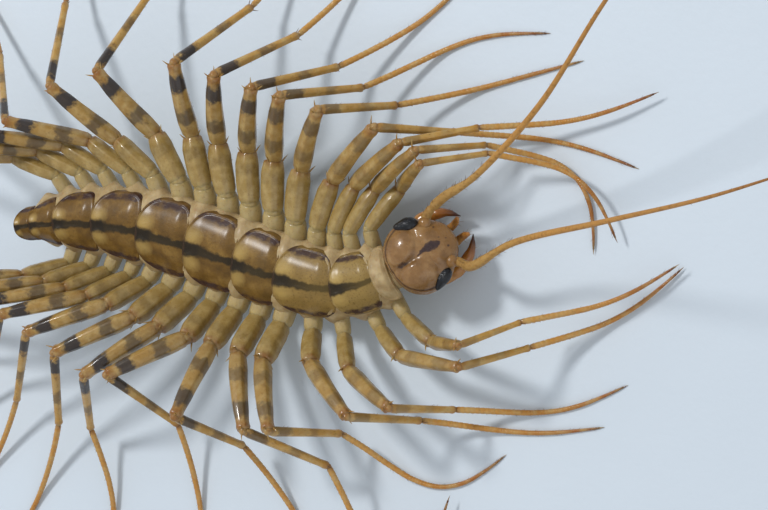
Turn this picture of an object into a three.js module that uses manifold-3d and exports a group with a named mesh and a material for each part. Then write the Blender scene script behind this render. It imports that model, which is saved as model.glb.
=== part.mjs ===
// House centipede at life size, standing still with its head turned to its left.
// Millimetres, +Z up, the head towards +X. The floor is at z = 0.
import * as THREE from 'three';
import { mergeVertices } from 'three/addons/utils/BufferGeometryUtils.js';
import Module from 'manifold-3d';

const wasm = await Module();
wasm.setup();

// Driving dimensions
const gap = 0.3; // between a piece and what it grows from
const bodyLength = 25; // trunk behind the neck, along the back
const bodyHeight = 2.9; // middle of the trunk above the floor
const bodyRoll = 12; // degrees, left side up
const legPairs = 15;
const firstLeg = 0.3; // place of the first pair, behind the neck
const legPitch = 1.62; // from one pair to the next
const headCentre = new THREE.Vector3(3.5, 1.03, 3.25);
const headTurn = 35; // degrees to the left
const headTilt = 8; // degrees, nose down
const headRoll = 12; // degrees, left side up, as the body

const up = new THREE.Vector3(0, 0, 1);
const radians = THREE.MathUtils.degToRad;

// Colours of the living animal
const finish = (color, roughness) => new THREE.MeshStandardMaterial({ color, roughness, metalness: 0 });
const tan = finish(0xa9874f, 0.42);
const pale = finish(0xb9a06c, 0.45);
const legTan = finish(0xb08a45, 0.45);
const footAmber = finish(0xb5762c, 0.5);
const eyeBlack = finish(0x14161c, 0.2);
const clawAmber = finish(0x9c5c17, 0.3);

// Reads a list of [place, value] stations, with smooth steps between them.
function along(stations, place) {
  if (place <= stations[0][0]) return stations[0][1];
  for (let k = 1; k < stations.length; k++) {
    const [end, value] = stations[k];
    const [start, before] = stations[k - 1];
    if (place <= end) {
      return THREE.MathUtils.lerp(before, value, THREE.MathUtils.smoothstep(place, start, end) * 0.5
        + 0.5 * (place - start) / (end - start));
    }
  }
  return stations.at(-1)[1];
}

// A closed mesh through rings of equal count, closed at both ends by fans.
function loft(rings) {
  const count = rings[0].length;
  const places = rings.flat();
  const faces = [];
  for (let r = 0; r < rings.length - 1; r++) {
    for (let k = 0; k < count; k++) {
      const a = r * count + k;
      const b = r * count + (k + 1) % count;
      faces.push(a, b, b + count, a, b + count, a + count);
    }
  }
  for (const [ring, first, turn] of [[rings[0], 0, false], [rings.at(-1), (rings.length - 1) * count, true]]) {
    const middle = places.length;
    places.push(ring.reduce((sum, p) => sum.add(p), new THREE.Vector3()).divideScalar(count));
    for (let k = 0; k < count; k++) {
      const a = first + k;
      const b = first + (k + 1) % count;
      faces.push(...(turn ? [a, b, middle] : [b, a, middle]));
    }
  }
  const geometry = new THREE.BufferGeometry().setFromPoints(places);
  geometry.setIndex(faces);
  return geometry;
}

function toSolid(geometry) {
  const plain = geometry.clone();
  plain.deleteAttribute('normal');
  plain.deleteAttribute('uv');
  const merged = mergeVertices(plain, 1e-5);
  return new wasm.Manifold(new wasm.Mesh({
    numProp: 3,
    vertProperties: new Float32Array(merged.attributes.position.array),
    triVerts: new Uint32Array(merged.index.array),
  }));
}

// The largest closed surface of a solid, as a geometry.
function toGeometry(solid) {
  const largest = solid.decompose().sort((a, b) => b.volume() - a.volume())[0];
  const mesh = largest.getMesh();
  const geometry = new THREE.BufferGeometry();
  geometry.setAttribute('position', new THREE.BufferAttribute(new Float32Array(mesh.vertProperties), 3));
  geometry.setIndex(new THREE.BufferAttribute(new Uint32Array(mesh.triVerts), 1));
  return geometry;
}

const centipede = new THREE.Group();
function addPiece(name, geometry, material) {
  geometry.computeVertexNormals();
  const mesh = new THREE.Mesh(geometry, material);
  mesh.name = name;
  centipede.add(mesh);
}

// Back line, from the front of the neck to the tail, seen from above
const neckReach = 1.6; // of the line in front of the first plate
const backLine = new THREE.CatmullRomCurve3([
  [2.2, 0.35], [0.8, -0.1], [-0.8, -0.58], [-2.5, -0.73], [-5, -0.33], [-8.5, 0.67],
  [-12.8, 1.87], [-17.2, 2.87], [-22.1, 3.17], [-26, 2.87],
].map(([x, y]) => new THREE.Vector3(x, y, 0)));
backLine.arcLengthDivisions = 400;
const backLength = backLine.getLength();

// Half the width of the back plates, by the distance behind the neck
const plateHalfWidth = [[-1.6, 1.35], [0, 1.6], [1, 1.8], [4, 2.05], [9, 2.35], [13, 2.45], [17, 2.3],
  [20, 2.05], [23, 1.7], [25, 1.2], [26.5, 0.6]];

// A point of the trunk: behind the neck, across to the left and up from its middle.
function bodyPoint(behind, across, above) {
  const share = THREE.MathUtils.clamp((behind + neckReach) / backLength, 0, 1);
  const place = backLine.getPointAt(share);
  const left = new THREE.Vector3().crossVectors(up, backLine.getTangentAt(share).negate()).normalize();
  const roll = radians(bodyRoll);
  place.addScaledVector(left, across * Math.cos(roll) - above * Math.sin(roll));
  place.z = bodyHeight + across * Math.sin(roll) + above * Math.cos(roll);
  return place;
}

// Trunk: one length under each of the eight back plates
const plateEnds = [0, 2.8, 6.7, 9.7, 13.3, 16.9, 20.3, 23.2, bodyLength];
const flankInset = 0.25; // of the flank under the plate's edge
const coreTop = 1.05;
const coreBottom = 1.2;
const coreSides = 18;
const squareness = 0.8;

function signedPower(value, power) {
  return Math.sign(value) * Math.abs(value) ** power;
}

function coreRing(behind, scale) {
  const half = (along(plateHalfWidth, behind) - flankInset) * scale;
  return Array.from({ length: coreSides }, (_, k) => {
    const angle = 2 * Math.PI * k / coreSides;
    const height = Math.sin(angle) > 0 ? coreTop : coreBottom;
    return bodyPoint(behind, half * signedPower(Math.cos(angle), squareness),
      scale * height * signedPower(Math.sin(angle), squareness));
  });
}

function coreLoft(start, end, waist) {
  const shares = [0, 0.2, 0.5, 0.8, 1];
  return loft(shares.map((share) => {
    const pinch = 1 - waist * Math.abs(2 * share - 1) ** 3;
    return coreRing(THREE.MathUtils.lerp(end, start, share), pinch);
  }));
}

// A back plate: a domed slab with rounded corners, its underside sunk into the trunk.
const plateRise = 1.32;
const plateFall = 0.95; // from the ridge to the side edge
const plateThickness = 0.42;
const plateOutline = 24;
const plateRings = [0.45, 0.8, 0.94, 1];

function platePoint(start, end, ring, angle, drop) {
  const middle = (start + end) / 2;
  const lengthwise = signedPower(Math.cos(angle), 0.5) * ring;
  const crosswise = signedPower(Math.sin(angle), 0.5) * ring;
  const behind = middle - lengthwise * (end - start) / 2;
  const half = along(plateHalfWidth, behind);
  const edge = ring > 0.99 ? 0.1 : 0; // the rim is rolled down
  const above = plateRise - plateFall * Math.abs(crosswise) ** 2.2 - edge - drop;
  return bodyPoint(behind, crosswise * half, above);
}

function plateLoft(start, end) {
  const ringAt = (ring, drop) => Array.from({ length: plateOutline },
    (_, k) => platePoint(start, end, ring, 2 * Math.PI * k / plateOutline, drop));
  const under = plateRings.slice(0, -1).map((ring) => ringAt(ring, plateThickness));
  const over = [...plateRings].reverse().map((ring) => ringAt(ring, 0));
  return loft([...under, ringAt(0.995, plateThickness * 0.8), ...over]);
}

function addTrunk() {
  for (let k = 0; k < plateEnds.length - 1; k++) {
    const start = plateEnds[k] + gap / 2;
    const end = plateEnds[k + 1] - gap / 2;
    const length = toSolid(coreLoft(start, end, 0.06)).add(toSolid(plateLoft(start, end)));
    addPiece(`trunk_${k + 1}`, toGeometry(length), tan);
  }
  const tailRings = [[1.35, 0.35], [1.1, 0.6], [0.55, 0.85], [0, 0.92]];
  addPiece('tail', loft(tailRings.map(([reach, scale]) =>
    coreRing(bodyLength + gap / 2 + reach, scale))), tan);
}

// Head, in its own axes: ahead, left and up from its centre
const headAxes = new THREE.Matrix4()
  .makeRotationFromEuler(new THREE.Euler(radians(headRoll), radians(headTilt), radians(headTurn), 'ZYX'))
  .setPosition(headCentre);
const headStations = [
  // ahead, half width, top, bottom
  [-2.05, 0.95, 0.5, 0.55],
  [-1.7, 1.6, 0.95, 0.9],
  [-1.0, 2.1, 1.28, 1.15],
  [-0.2, 2.22, 1.36, 1.25],
  [0.5, 2.08, 1.2, 1.28],
  [1.05, 1.72, 0.95, 1.2],
  [1.5, 1.35, 0.72, 1.05],
  [1.85, 1.0, 0.45, 0.85],
  [2.1, 0.6, 0.15, 0.55],
];
const headSides = 20;
const lobeRise = 0.14; // the two swellings of the crown, either side of the middle line

function headPoint(ahead, left, above) {
  return new THREE.Vector3(ahead, left, above).applyMatrix4(headAxes);
}

function headLoft(grow) {
  const stations = headStations.map(([ahead, ...sizes]) => [ahead + Math.sign(ahead) * grow, ...sizes]);
  return loft(stations.map(([ahead, half, top, bottom]) =>
    Array.from({ length: headSides }, (_, k) => {
      const angle = 2 * Math.PI * (k + 0.5) / headSides;
      const across = signedPower(Math.cos(angle), 0.9);
      const lobes = ahead < 0.6 ? lobeRise * Math.sin(Math.PI * Math.min(1, Math.abs(across))) ** 2 : 0;
      const height = Math.sin(angle) > 0 ? top + lobes + grow : bottom + grow;
      return headPoint(ahead, (half + grow) * across, height * signedPower(Math.sin(angle), 0.9));
    })));
}

// Eyes: long ovals set in the sides of the head, just behind the feelers
const eyeRadii = [0.72, 0.4, 0.42]; // along the head's edge, outwards, upwards
const eyePlace = { ahead: 0.3, left: 1.86, above: 0.5 };
const eyeTurn = 17; // degrees, the front end inwards

function eyeBall(side, grow) {
  const ball = new THREE.SphereGeometry(1, 14, 10);
  ball.scale(...eyeRadii.map((radius) => radius + grow));
  ball.rotateZ(-side * radians(eyeTurn));
  ball.translate(eyePlace.ahead, side * eyePlace.left, eyePlace.above);
  return ball.applyMatrix4(headAxes);
}

function addHead() {
  let head = toSolid(headLoft(0));
  for (const [word, side] of [['left', 1], ['right', -1]]) {
    addPiece(`eye_${word}`, eyeBall(side, 0), eyeBlack);
    head = head.subtract(toSolid(eyeBall(side, gap * 0.8)));
  }
  addPiece('head', toGeometry(head), tan);
  const collar = toSolid(coreLoft(-1.75, -gap / 2, 0.02)).subtract(toSolid(headLoft(gap)));
  addPiece('neck', toGeometry(collar), pale);
}

// A limb: a tube of few sides along places with a radius each. No part goes below the floor.
function limb(places, radii, sides) {
  const directions = places.map((place, k) => {
    const before = k > 0 ? place.clone().sub(places[k - 1]).normalize() : new THREE.Vector3();
    const after = k < places.length - 1 ? places[k + 1].clone().sub(place).normalize() : new THREE.Vector3();
    return before.add(after).normalize();
  });
  const first = directions[0];
  let side = new THREE.Vector3().crossVectors(first, up).normalize();
  return loft(places.map((place, k) => {
    side.addScaledVector(directions[k], -side.dot(directions[k])).normalize();
    const other = new THREE.Vector3().crossVectors(side, directions[k]);
    return Array.from({ length: sides }, (_, j) => {
      const angle = 2 * Math.PI * j / sides;
      const corner = place.clone().addScaledVector(side, radii[k] * Math.cos(angle))
        .addScaledVector(other, -radii[k] * Math.sin(angle));
      corner.z = Math.max(corner.z, 0);
      return corner;
    });
  }));
}

// Legs. Lengths grow from the first pair to the last, whose feet are far the longest.
const hipLength = 4.0;
const thighLength = (pair) => (pair < 2 ? 4.2 : 5.0 + 0.03 * pair);
const shinLength = (pair) => 3.7 + 0.3 * pair + (pair === legPairs ? 3 : 0);
const footLength = (pair) => 9.2 + 0.5 * pair + (pair === legPairs ? 9 : 0);
// Girth by pair: the middle legs are the stoutest, and the crowded first and last hips are thinner.
const hipGirth = [[1, 0.68], [3, 0.72], [5, 1], [10, 1], [12, 0.74]];
const legGirth = [[1, 0.74], [3, 0.9], [5, 1], [10, 1], [13, 0.84]];
const rearRise = (pair) => 0.5 * Math.max(0, pair - 11); // the last legs are carried high
const coxaLength = 0.95;
const ankleHeight = 2.2;
const kneeHeight = (pair, side) => (side > 0 ? 5.0 : 5.3) + 1.5 * Math.sin(Math.PI * pair / 16) + rearRise(pair);
const hipHeight = (pair, side) => (side > 0 ? 3.9 : 4.3) - 0.3 * Math.max(0, 4 - pair);
const rootHeight = -0.65; // below the middle of the trunk
const coxaRise = 0.5;
const coxaLean = 0.7; // towards where the leg points
const legGap = 0.42; // a sloping root needs more than the plain gap
const legRadius = {
  root: 0.4, coxa: 0.46, hip: 0.6, thigh: 0.53, knee: 0.4, shin: 0.29, ankle: 0.26, foot: 0.25, tip: 0.12,
};
const spurLength = 0.75;
const spurRadius = 0.14;
const footSteps = 7;
const touchDown = 0.5; // share of the foot's length at which it reaches the floor

// Which way each article points, in degrees from straight ahead, outwards. The foot turns from foot
// to toe along its length, lift is how far its end stays above the floor, and rise is how much higher
// the knee is carried than in its neighbours.
const pose = {
  right: [
    { hip: 30, thigh: 1, shin: -28, foot: -12, toe: -32, lift: 1.9, rise: 0.5 },
    { hip: 34, thigh: 6, shin: -20, foot: -19, toe: -40, lift: 0.3, rise: -0.6 },
    { hip: 54, thigh: 26, shin: 6, foot: 3, toe: -24, lift: 0, rise: 0.2 },
    { hip: 56, thigh: 38, shin: 8, foot: 8, toe: -8, lift: 0, rise: 0 },
    { hip: 88, thigh: 62, shin: 9, foot: 38, toe: -36, lift: 0, rise: 0.4 },
    { hip: 90, thigh: 68, shin: 30, foot: 70, toe: -70, lift: 1.5, rise: -0.3 },
    { hip: 98, thigh: 96, shin: 54, foot: 59, toe: 64, lift: 0, rise: 0.7 },
    { hip: 102, thigh: 150, shin: 60, foot: 86, toe: 96, lift: 0, rise: 0.3 },
    { hip: 116, thigh: 142, shin: 128, foot: 84, toe: 170, lift: 0, rise: 0 },
    { hip: 122, thigh: 154, shin: 120, foot: 122, toe: 128, lift: 0, rise: -0.4 },
    { hip: 136, thigh: 160, shin: 130, foot: 128, toe: 146, lift: 0, rise: -0.4 },
    { hip: 143, thigh: 166, shin: 140, foot: 138, toe: 150, lift: 0, rise: 0 },
    { hip: 149, thigh: 169, shin: 152, foot: 148, toe: 160, lift: 0, rise: 0 },
    { hip: 154, thigh: 173, shin: 162, foot: 158, toe: 169, lift: 0, rise: 0 },
    { hip: 159, thigh: 177, shin: 174, foot: 170, toe: 176, lift: 0, rise: 0 },
  ],
  left: [
    { hip: 50, thigh: 25, shin: 12, foot: -12, toe: -68, lift: 1.7, rise: 0.5 },
    { hip: 55, thigh: 28, shin: 7, foot: -15, toe: -90, lift: 0.2, rise: 0 },
    { hip: 60, thigh: 30, shin: 13, foot: 3, toe: 20, lift: 1.4, rise: -0.4 },
    { hip: 64, thigh: 38, shin: -4, foot: -5, toe: -21, lift: 0, rise: -0.5 },
    { hip: 77, thigh: 50, shin: 8, foot: 12, toe: 12, lift: 0, rise: 0.4 },
    { hip: 84, thigh: 58, shin: 12, foot: 27, toe: -2, lift: 0, rise: 0.5 },
    { hip: 88, thigh: 58, shin: 24, foot: 30, toe: 46, lift: 0, rise: 0.5 },
    { hip: 96, thigh: 66, shin: 42, foot: 47, toe: 54, lift: 0, rise: 0.5 },
    { hip: 100, thigh: 80, shin: 56, foot: 56, toe: 62, lift: 0, rise: 0.5 },
    { hip: 116, thigh: 124, shin: 80, foot: 74, toe: 84, lift: 0, rise: 0.2 },
    { hip: 138, thigh: 136, shin: 108, foot: 98, toe: 106, lift: 0, rise: 0 },
    { hip: 143, thigh: 165, shin: 130, foot: 124, toe: 132, lift: 0, rise: 0 },
    { hip: 149, thigh: 171, shin: 145, foot: 140, toe: 148, lift: 0, rise: 0 },
    { hip: 154, thigh: 175, shin: 158, foot: 154, toe: 162, lift: 0, rise: 0 },
    { hip: 158, thigh: 177, shin: 173, foot: 169, toe: 178, lift: 0, rise: 0 },
  ],
};

// A place further on, of the given length, heading outwards of straight ahead, at a new height.
function stepTo(from, side, heading, length, height) {
  const level = Math.sqrt(Math.max(length ** 2 - (height - from.z) ** 2, 0.01));
  const turn = side * radians(heading);
  return new THREE.Vector3(from.x + level * Math.cos(turn), from.y + level * Math.sin(turn), height);
}

function legJoints(word, side, pair) {
  const turns = pose[word][pair - 1];
  const behind = firstLeg + legPitch * (pair - 1);
  const flank = along(plateHalfWidth, behind) - flankInset;
  const root = bodyPoint(behind, side * (flank + legGap), rootHeight);
  const coxa = bodyPoint(behind - coxaLean * Math.cos(radians(turns.hip)),
    side * (flank + legGap + coxaLength), rootHeight + coxaRise);
  const hip = stepTo(coxa, side, turns.hip, hipLength - coxaLength, hipHeight(pair, side));
  const knee = stepTo(hip, side, turns.thigh, thighLength(pair), kneeHeight(pair, side) + turns.rise);
  const ankle = stepTo(knee, side, turns.shin, shinLength(pair), ankleHeight + turns.lift * 0.5);
  const foot = [];
  let last = ankle;
  for (let k = 1; k <= footSteps; k++) {
    const share = k / footSteps;
    const radius = THREE.MathUtils.lerp(legRadius.foot, legRadius.tip, share ** 2);
    const drop = Math.max(0, 1 - share / touchDown) ** 1.6;
    const resting = radius * 0.8 + turns.lift * (1 - 0.6 * share);
    const heading = THREE.MathUtils.lerp(turns.foot, turns.toe, THREE.MathUtils.smoothstep(share, 0.3, 1));
    last = stepTo(last, side, heading, footLength(pair) / footSteps, resting + drop * (ankle.z - resting));
    foot.push({ place: last, radius });
  }
  return { root, coxa, hip, knee, ankle, foot };
}

// Rings just before, at and just after a joint, so that the tube bends there and not between. A
// spur stands on top of the far end of the hip article, and another on that of the thigh.
function legLoft(word, side, pair) {
  const { root, coxa, hip, knee, ankle, foot } = legJoints(word, side, pair);
  const radius = legRadius;
  const ahead = (from, to, share) => from.clone().lerp(to, share);
  const stops = [
    [root, radius.root],
    [ahead(root, coxa, 0.5), radius.coxa],
    [coxa, radius.coxa],
    [ahead(coxa, hip, 0.3), radius.hip],
    [ahead(coxa, hip, 0.85), radius.hip],
    [hip, radius.hip * 0.85],
    [ahead(hip, knee, 0.15), radius.thigh],
    [ahead(hip, knee, 0.6), radius.thigh * 0.94],
    [ahead(hip, knee, 0.9), radius.knee],
    [knee, radius.knee * 0.95],
    [ahead(knee, ankle, 0.1), radius.shin],
    [ahead(knee, ankle, 0.9), radius.ankle],
    [ankle, radius.ankle],
    ...foot.map(({ place, radius: size }) => [place, size]),
  ];
  const [hips, girth] = [along(hipGirth, pair), along(legGirth, pair)];
  const radii = stops.map(([, size], k) => size * (k < 6 ? hips : girth));
  let solid = toSolid(limb(stops.map(([place]) => place), radii, 6));
  const spurs = [[coxa, hip, radius.hip * hips, 0.45], [hip, knee, radius.knee * girth, -0.45]];
  for (const [from, to, thickness, lean] of spurs) {
    const heading = to.clone().sub(from).normalize();
    const sideways = new THREE.Vector3().crossVectors(heading, up).normalize();
    const outer = new THREE.Vector3().crossVectors(sideways, heading);
    const aim = outer.clone().addScaledVector(sideways, lean).normalize();
    const base = ahead(from, to, 0.9).addScaledVector(aim, 0.6 * thickness);
    const tip = base.clone().addScaledVector(heading, 0.8 * spurLength).addScaledVector(aim, 0.6 * spurLength);
    solid = solid.add(toSolid(limb([base, tip], [spurRadius, 0.03], 4)));
  }
  return toGeometry(solid);
}

function addLegs() {
  for (const [word, side] of [['left', 1], ['right', -1]]) {
    for (let pair = 1; pair <= legPairs; pair++) {
      const name = `leg_${word}_${String(pair).padStart(2, '0')}`;
      addPiece(name, legLoft(word, side, pair), pair < 3 ? footAmber : legTan);
    }
  }
}

// Feelers: long whips that rise ahead of the head
const feelerRadius = { root: 0.34, base: 0.32, end: 0.13 };
const feelerSteps = 24;
const feelerRoot = 1.62; // ahead of the head's centre and outwards of it
const feelerWay = {
  left: [[5.3, 4.2, 4.2], [7.7, 5.3, 5.0], [13.4, 9.1, 8.0], [19.0, 14.2, 11.5], [26, 20.8, 14.5]],
  right: [[7.0, 0.35, 3.9], [10.3, 1.6, 5.4], [18.5, 2.8, 10], [26, 3.9, 14], [32, 5.2, 16.5]],
};

function addFeelers() {
  for (const [word, side] of [['left', 1], ['right', -1]]) {
    const root = headPoint(feelerRoot, side * feelerRoot, 0.35);
    const way = new THREE.CatmullRomCurve3([root, ...feelerWay[word].map((p) => new THREE.Vector3(...p))]);
    const places = way.getSpacedPoints(feelerSteps);
    const radii = places.map((_, k) => (k === 0 ? feelerRadius.root
      : THREE.MathUtils.lerp(feelerRadius.base, feelerRadius.end, (k / feelerSteps) ** 0.8)));
    addPiece(`antenna_${word}`, limb(places, radii, 6), footAmber);
  }
}

// Poison claws under the head and the two palps between them
const clawWay = [
  [-0.9, 1.35, -1.75], [0.2, 1.75, -1.85], [1.2, 1.7, -1.75], [2.1, 1.3, -1.7], [2.75, 0.6, -1.75],
];
const clawRadii = [0.42, 0.46, 0.4, 0.28, 0.1];
const palpWay = [
  [0.5, 0.55, -1.8], [1.2, 0.5, -1.85], [1.95, 0.42, -1.55], [2.5, 0.48, -1.0], [2.85, 0.6, -0.5],
];
const palpRadii = [0.25, 0.27, 0.26, 0.25, 0.14];

function addMouthparts() {
  for (const [word, side] of [['left', 1], ['right', -1]]) {
    for (const [name, way, radii] of [['claw', clawWay, clawRadii], ['palp', palpWay, palpRadii]]) {
      const line = new THREE.CatmullRomCurve3(way.map(([a, l, h]) => headPoint(a, side * l, h)));
      const count = 9;
      const sizes = Array.from({ length: count + 1 }, (_, k) => {
        const share = k / count * (radii.length - 1);
        const low = Math.min(Math.floor(share), radii.length - 2);
        return THREE.MathUtils.lerp(radii[low], radii[low + 1], share - low);
      });
      addPiece(`${name}_${word}`, limb(line.getPoints(count), sizes, 7), clawAmber);
    }
  }
}

addTrunk();
addHead();
addLegs();
addFeelers();
addMouthparts();

// The origin goes under the middle of the whole animal.
const box = new THREE.Box3().setFromObject(centipede, true);
const centre = box.getCenter(new THREE.Vector3());
for (const piece of centipede.children) piece.position.set(-centre.x, -centre.y, -box.min.z);

export default centipede;
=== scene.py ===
import math, random
import bpy, bmesh
import numpy as np
from mathutils import Matrix, Vector


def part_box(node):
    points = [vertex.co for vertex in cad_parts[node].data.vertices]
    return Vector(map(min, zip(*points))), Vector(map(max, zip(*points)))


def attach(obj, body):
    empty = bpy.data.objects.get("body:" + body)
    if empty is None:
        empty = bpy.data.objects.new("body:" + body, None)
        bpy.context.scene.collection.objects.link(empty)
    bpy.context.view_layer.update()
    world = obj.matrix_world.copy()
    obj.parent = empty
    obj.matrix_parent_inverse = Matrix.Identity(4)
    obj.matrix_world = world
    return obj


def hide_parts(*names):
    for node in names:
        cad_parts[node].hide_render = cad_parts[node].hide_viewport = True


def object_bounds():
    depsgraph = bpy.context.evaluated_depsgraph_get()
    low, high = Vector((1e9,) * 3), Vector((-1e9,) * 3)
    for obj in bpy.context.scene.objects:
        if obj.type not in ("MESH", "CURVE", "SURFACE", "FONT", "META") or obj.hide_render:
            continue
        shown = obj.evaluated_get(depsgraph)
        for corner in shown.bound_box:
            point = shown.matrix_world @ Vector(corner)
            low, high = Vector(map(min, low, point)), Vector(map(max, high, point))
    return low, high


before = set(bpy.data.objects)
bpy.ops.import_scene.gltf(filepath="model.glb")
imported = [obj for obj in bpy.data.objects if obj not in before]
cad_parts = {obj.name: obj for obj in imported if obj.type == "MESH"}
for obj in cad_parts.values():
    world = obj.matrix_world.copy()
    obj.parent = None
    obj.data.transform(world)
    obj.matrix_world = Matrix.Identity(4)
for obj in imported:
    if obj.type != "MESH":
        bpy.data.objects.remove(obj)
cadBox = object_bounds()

# House centipede at life size. It is laid out in millimetres with the head towards +X, and a
# piece becomes metres in the shared frame when it is made.
random.seed(15)
up = np.array((0.0, 0.0, 1.0))
sides = {"left": 1, "right": -1}
legPairs = 15

def unit(vector):
    return vector / max(np.linalg.norm(vector), 1e-9)

def turned(degrees):
    return math.cos(math.radians(degrees)), math.sin(math.radians(degrees))

def ease(value, low, high):  # 0 below low, 1 above high
    share = np.clip((value - low) / (high - low), 0, 1)
    return share * share * (3 - 2 * share)

def along(stations, place):  # reads [place, value] stations, easing between them
    if place <= stations[0][0]:
        return stations[0][1]
    for (start, before), (end, value) in zip(stations, stations[1:]):
        if place <= end:
            share = (place - start) / (end - start)
            return before + (value - before) * (ease(share, 0, 1) + share) / 2
    return stations[-1][1]

def smoothLine(points, steps=48):  # a curve through the points, as its running length and its places
    points = [np.array(p, float) for p in points]
    full = [2 * points[0] - points[1], *points, 2 * points[-1] - points[-2]]
    dense = []
    for a, b, c, d in zip(full, full[1:], full[2:], full[3:]):
        ab, bc, cd = (np.linalg.norm(q - p) ** 0.5 for p, q in ((a, b), (b, c), (c, d)))
        leave = ((b - a) / ab - (c - a) / (ab + bc) + (c - b) / bc) * bc
        reach = ((c - b) / bc - (d - b) / (bc + cd) + (d - c) / cd) * bc
        for t in np.arange(steps) / steps:
            dense.append(b * (2 * t**3 - 3 * t**2 + 1) + leave * (t**3 - 2 * t**2 + t)
                         + c * (3 * t**2 - 2 * t**3) + reach * (t**3 - t**2))
    dense = np.array([*dense, points[-1]])
    run = np.concatenate(([0], np.cumsum(np.linalg.norm(np.diff(dense, axis=0), axis=1))))
    return run, dense

def lineAt(line, place):  # the point this far along a line
    run, dense = line
    return np.stack([np.interp(place, run, dense[:, k]) for k in range(dense.shape[1])], -1)


# Where the body and head are, as in the solids
body = {
    "length": 25, "height": 2.9, "roll": 12, "neckReach": 1.6, "inset": 0.25, "squareness": 0.8,
    "top": 1.05, "bottom": 1.2,
    "backLine": [(2.2, 0.35), (0.8, -0.1), (-0.8, -0.58), (-2.5, -0.73), (-5, -0.33), (-8.5, 0.67),
                 (-12.8, 1.87), (-17.2, 2.87), (-22.1, 3.17), (-26, 2.87)],
    "halfWidth": [[-1.6, 1.35], [0, 1.6], [1, 1.8], [4, 2.05], [9, 2.35], [13, 2.45], [17, 2.3],
                  [20, 2.05], [23, 1.7], [25, 1.2], [26.5, 0.6]],
    "plateEnds": [0, 2.8, 6.7, 9.7, 13.3, 16.9, 20.3, 23.2, 25],
    "firstLeg": 0.3, "legPitch": 1.62,
}
backLine = smoothLine([(x, y, 0) for x, y in body["backLine"]])

def bodyPoint(behind, across, above):  # behind the neck, to the left, and up from the trunk's middle
    end = backLine[0][-1]
    place = min(max(behind + body["neckReach"], 0), end)
    heading = unit(lineAt(backLine, min(place + 0.05, end)) - lineAt(backLine, max(place - 0.05, 0)))
    left = np.cross(up, -heading)
    cos, sin = turned(body["roll"])
    return (lineAt(backLine, place) + left * (across * cos - above * sin)
            + up * (body["height"] + across * sin + above * cos))

def legPlace(pair):  # how far behind the neck a pair of legs grows
    return body["firstLeg"] + body["legPitch"] * (pair - 1)

head = {"centre": (3.5, 1.03, 3.25), "turn": 35, "tilt": 8, "roll": 12}

def headPoint(ahead, left, above):
    cos, sin = turned(head["roll"])
    left, above = left * cos - above * sin, left * sin + above * cos
    cos, sin = turned(head["tilt"])
    ahead, above = ahead * cos + above * sin, above * cos - ahead * sin
    cos, sin = turned(head["turn"])
    place = np.array((ahead * cos - left * sin, ahead * sin + left * cos, above))
    return np.array(head["centre"]) + place

# Length and girth are those of the finished eyes, as shares of the solid ones
eye = {"ahead": 0.3, "left": 1.86, "above": 0.5, "turn": 17, "radii": (0.72, 0.4, 0.42),
       "length": 1.04, "leftGirth": 1.12, "rightGirth": 0.96, "lift": 0.03, "rows": 26, "count": 44}
low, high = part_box("eye_left")
eyeCentre = headPoint(eye["ahead"], eye["left"], eye["above"])
offset = (np.array(low) + np.array(high)) / 2 - eyeCentre / 1000  # from the layout to the shared frame


# Shapes: lists of points, faces and marks. A mark is three numbers that a finish can read.
def newShape():
    return {"points": [], "faces": [], "marks": [], "finish": [], "count": 0}

def addPoints(shape, points, marks):
    first = shape["count"]
    shape["points"].append(np.asarray(points, float).reshape(-1, 3))
    shape["marks"].append(np.asarray(marks, float).reshape(-1, 3))
    shape["count"] += len(shape["points"][-1])
    return first

def addFaces(shape, faces, finish):
    shape["faces"] += faces
    shape["finish"] += [finish] * len(faces)

def addGrid(shape, rings, marks, finish=0):  # closed round each ring, and closed at both ends
    rings, marks = np.asarray(rings), np.asarray(marks)
    rows, columns = rings.shape[:2]
    if marks.ndim == 2:  # one mark for each ring
        marks = np.repeat(marks[:, None], columns, axis=1)
    index = addPoints(shape, rings, marks) + np.arange(rows * columns).reshape(rows, columns)
    beside = np.roll(index, -1, axis=1)
    quads = np.stack((index[:-1], beside[:-1], beside[1:], index[1:]), -1)
    addFaces(shape, quads.reshape(-1, 4).tolist(), finish)
    for row, turn in ((0, -1), (-1, 1)):
        middle = addPoints(shape, rings[row].mean(0), marks[row].mean(0))
        fans = [[a, b, middle][::turn] for a, b in zip(index[row].tolist(), beside[row].tolist())]
        addFaces(shape, fans, finish)

keels = {"count": 5, "sharpness": 12}
floorGap = 0.004

def addTube(shape, centres, radii, marks, count, keel=0, finish=0):  # keel: a share of the radius
    centres = np.asarray(centres, float)
    steps = np.diff(centres, axis=0)
    steps /= np.maximum(np.linalg.norm(steps, axis=1, keepdims=True), 1e-9)
    headings = np.vstack((steps[:1], steps[:-1] + steps[1:], steps[-1:]))
    around = 2 * np.pi * np.arange(count) / count
    side = np.cross(headings[0], up)
    if np.linalg.norm(side) < 0.1:
        side = np.array((1.0, 0.0, 0.0))
    rings = []
    for centre, heading, radius in zip(centres, headings, radii):
        heading = unit(heading)
        side = unit(side - heading * side.dot(heading))
        girth = radius * (1 + keel * np.cos(keels["count"] / 2 * around) ** keels["sharpness"])
        ring = (centre + np.outer(np.cos(around) * girth, side)
                - np.outer(np.sin(around) * girth, np.cross(side, heading)))
        ring[:, 2] = np.maximum(ring[:, 2], floorGap)  # no limb goes below the floor
        rings.append(ring)
    addGrid(shape, rings, np.broadcast_to(np.asarray(marks, float), (len(rings), 3)), finish)

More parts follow.
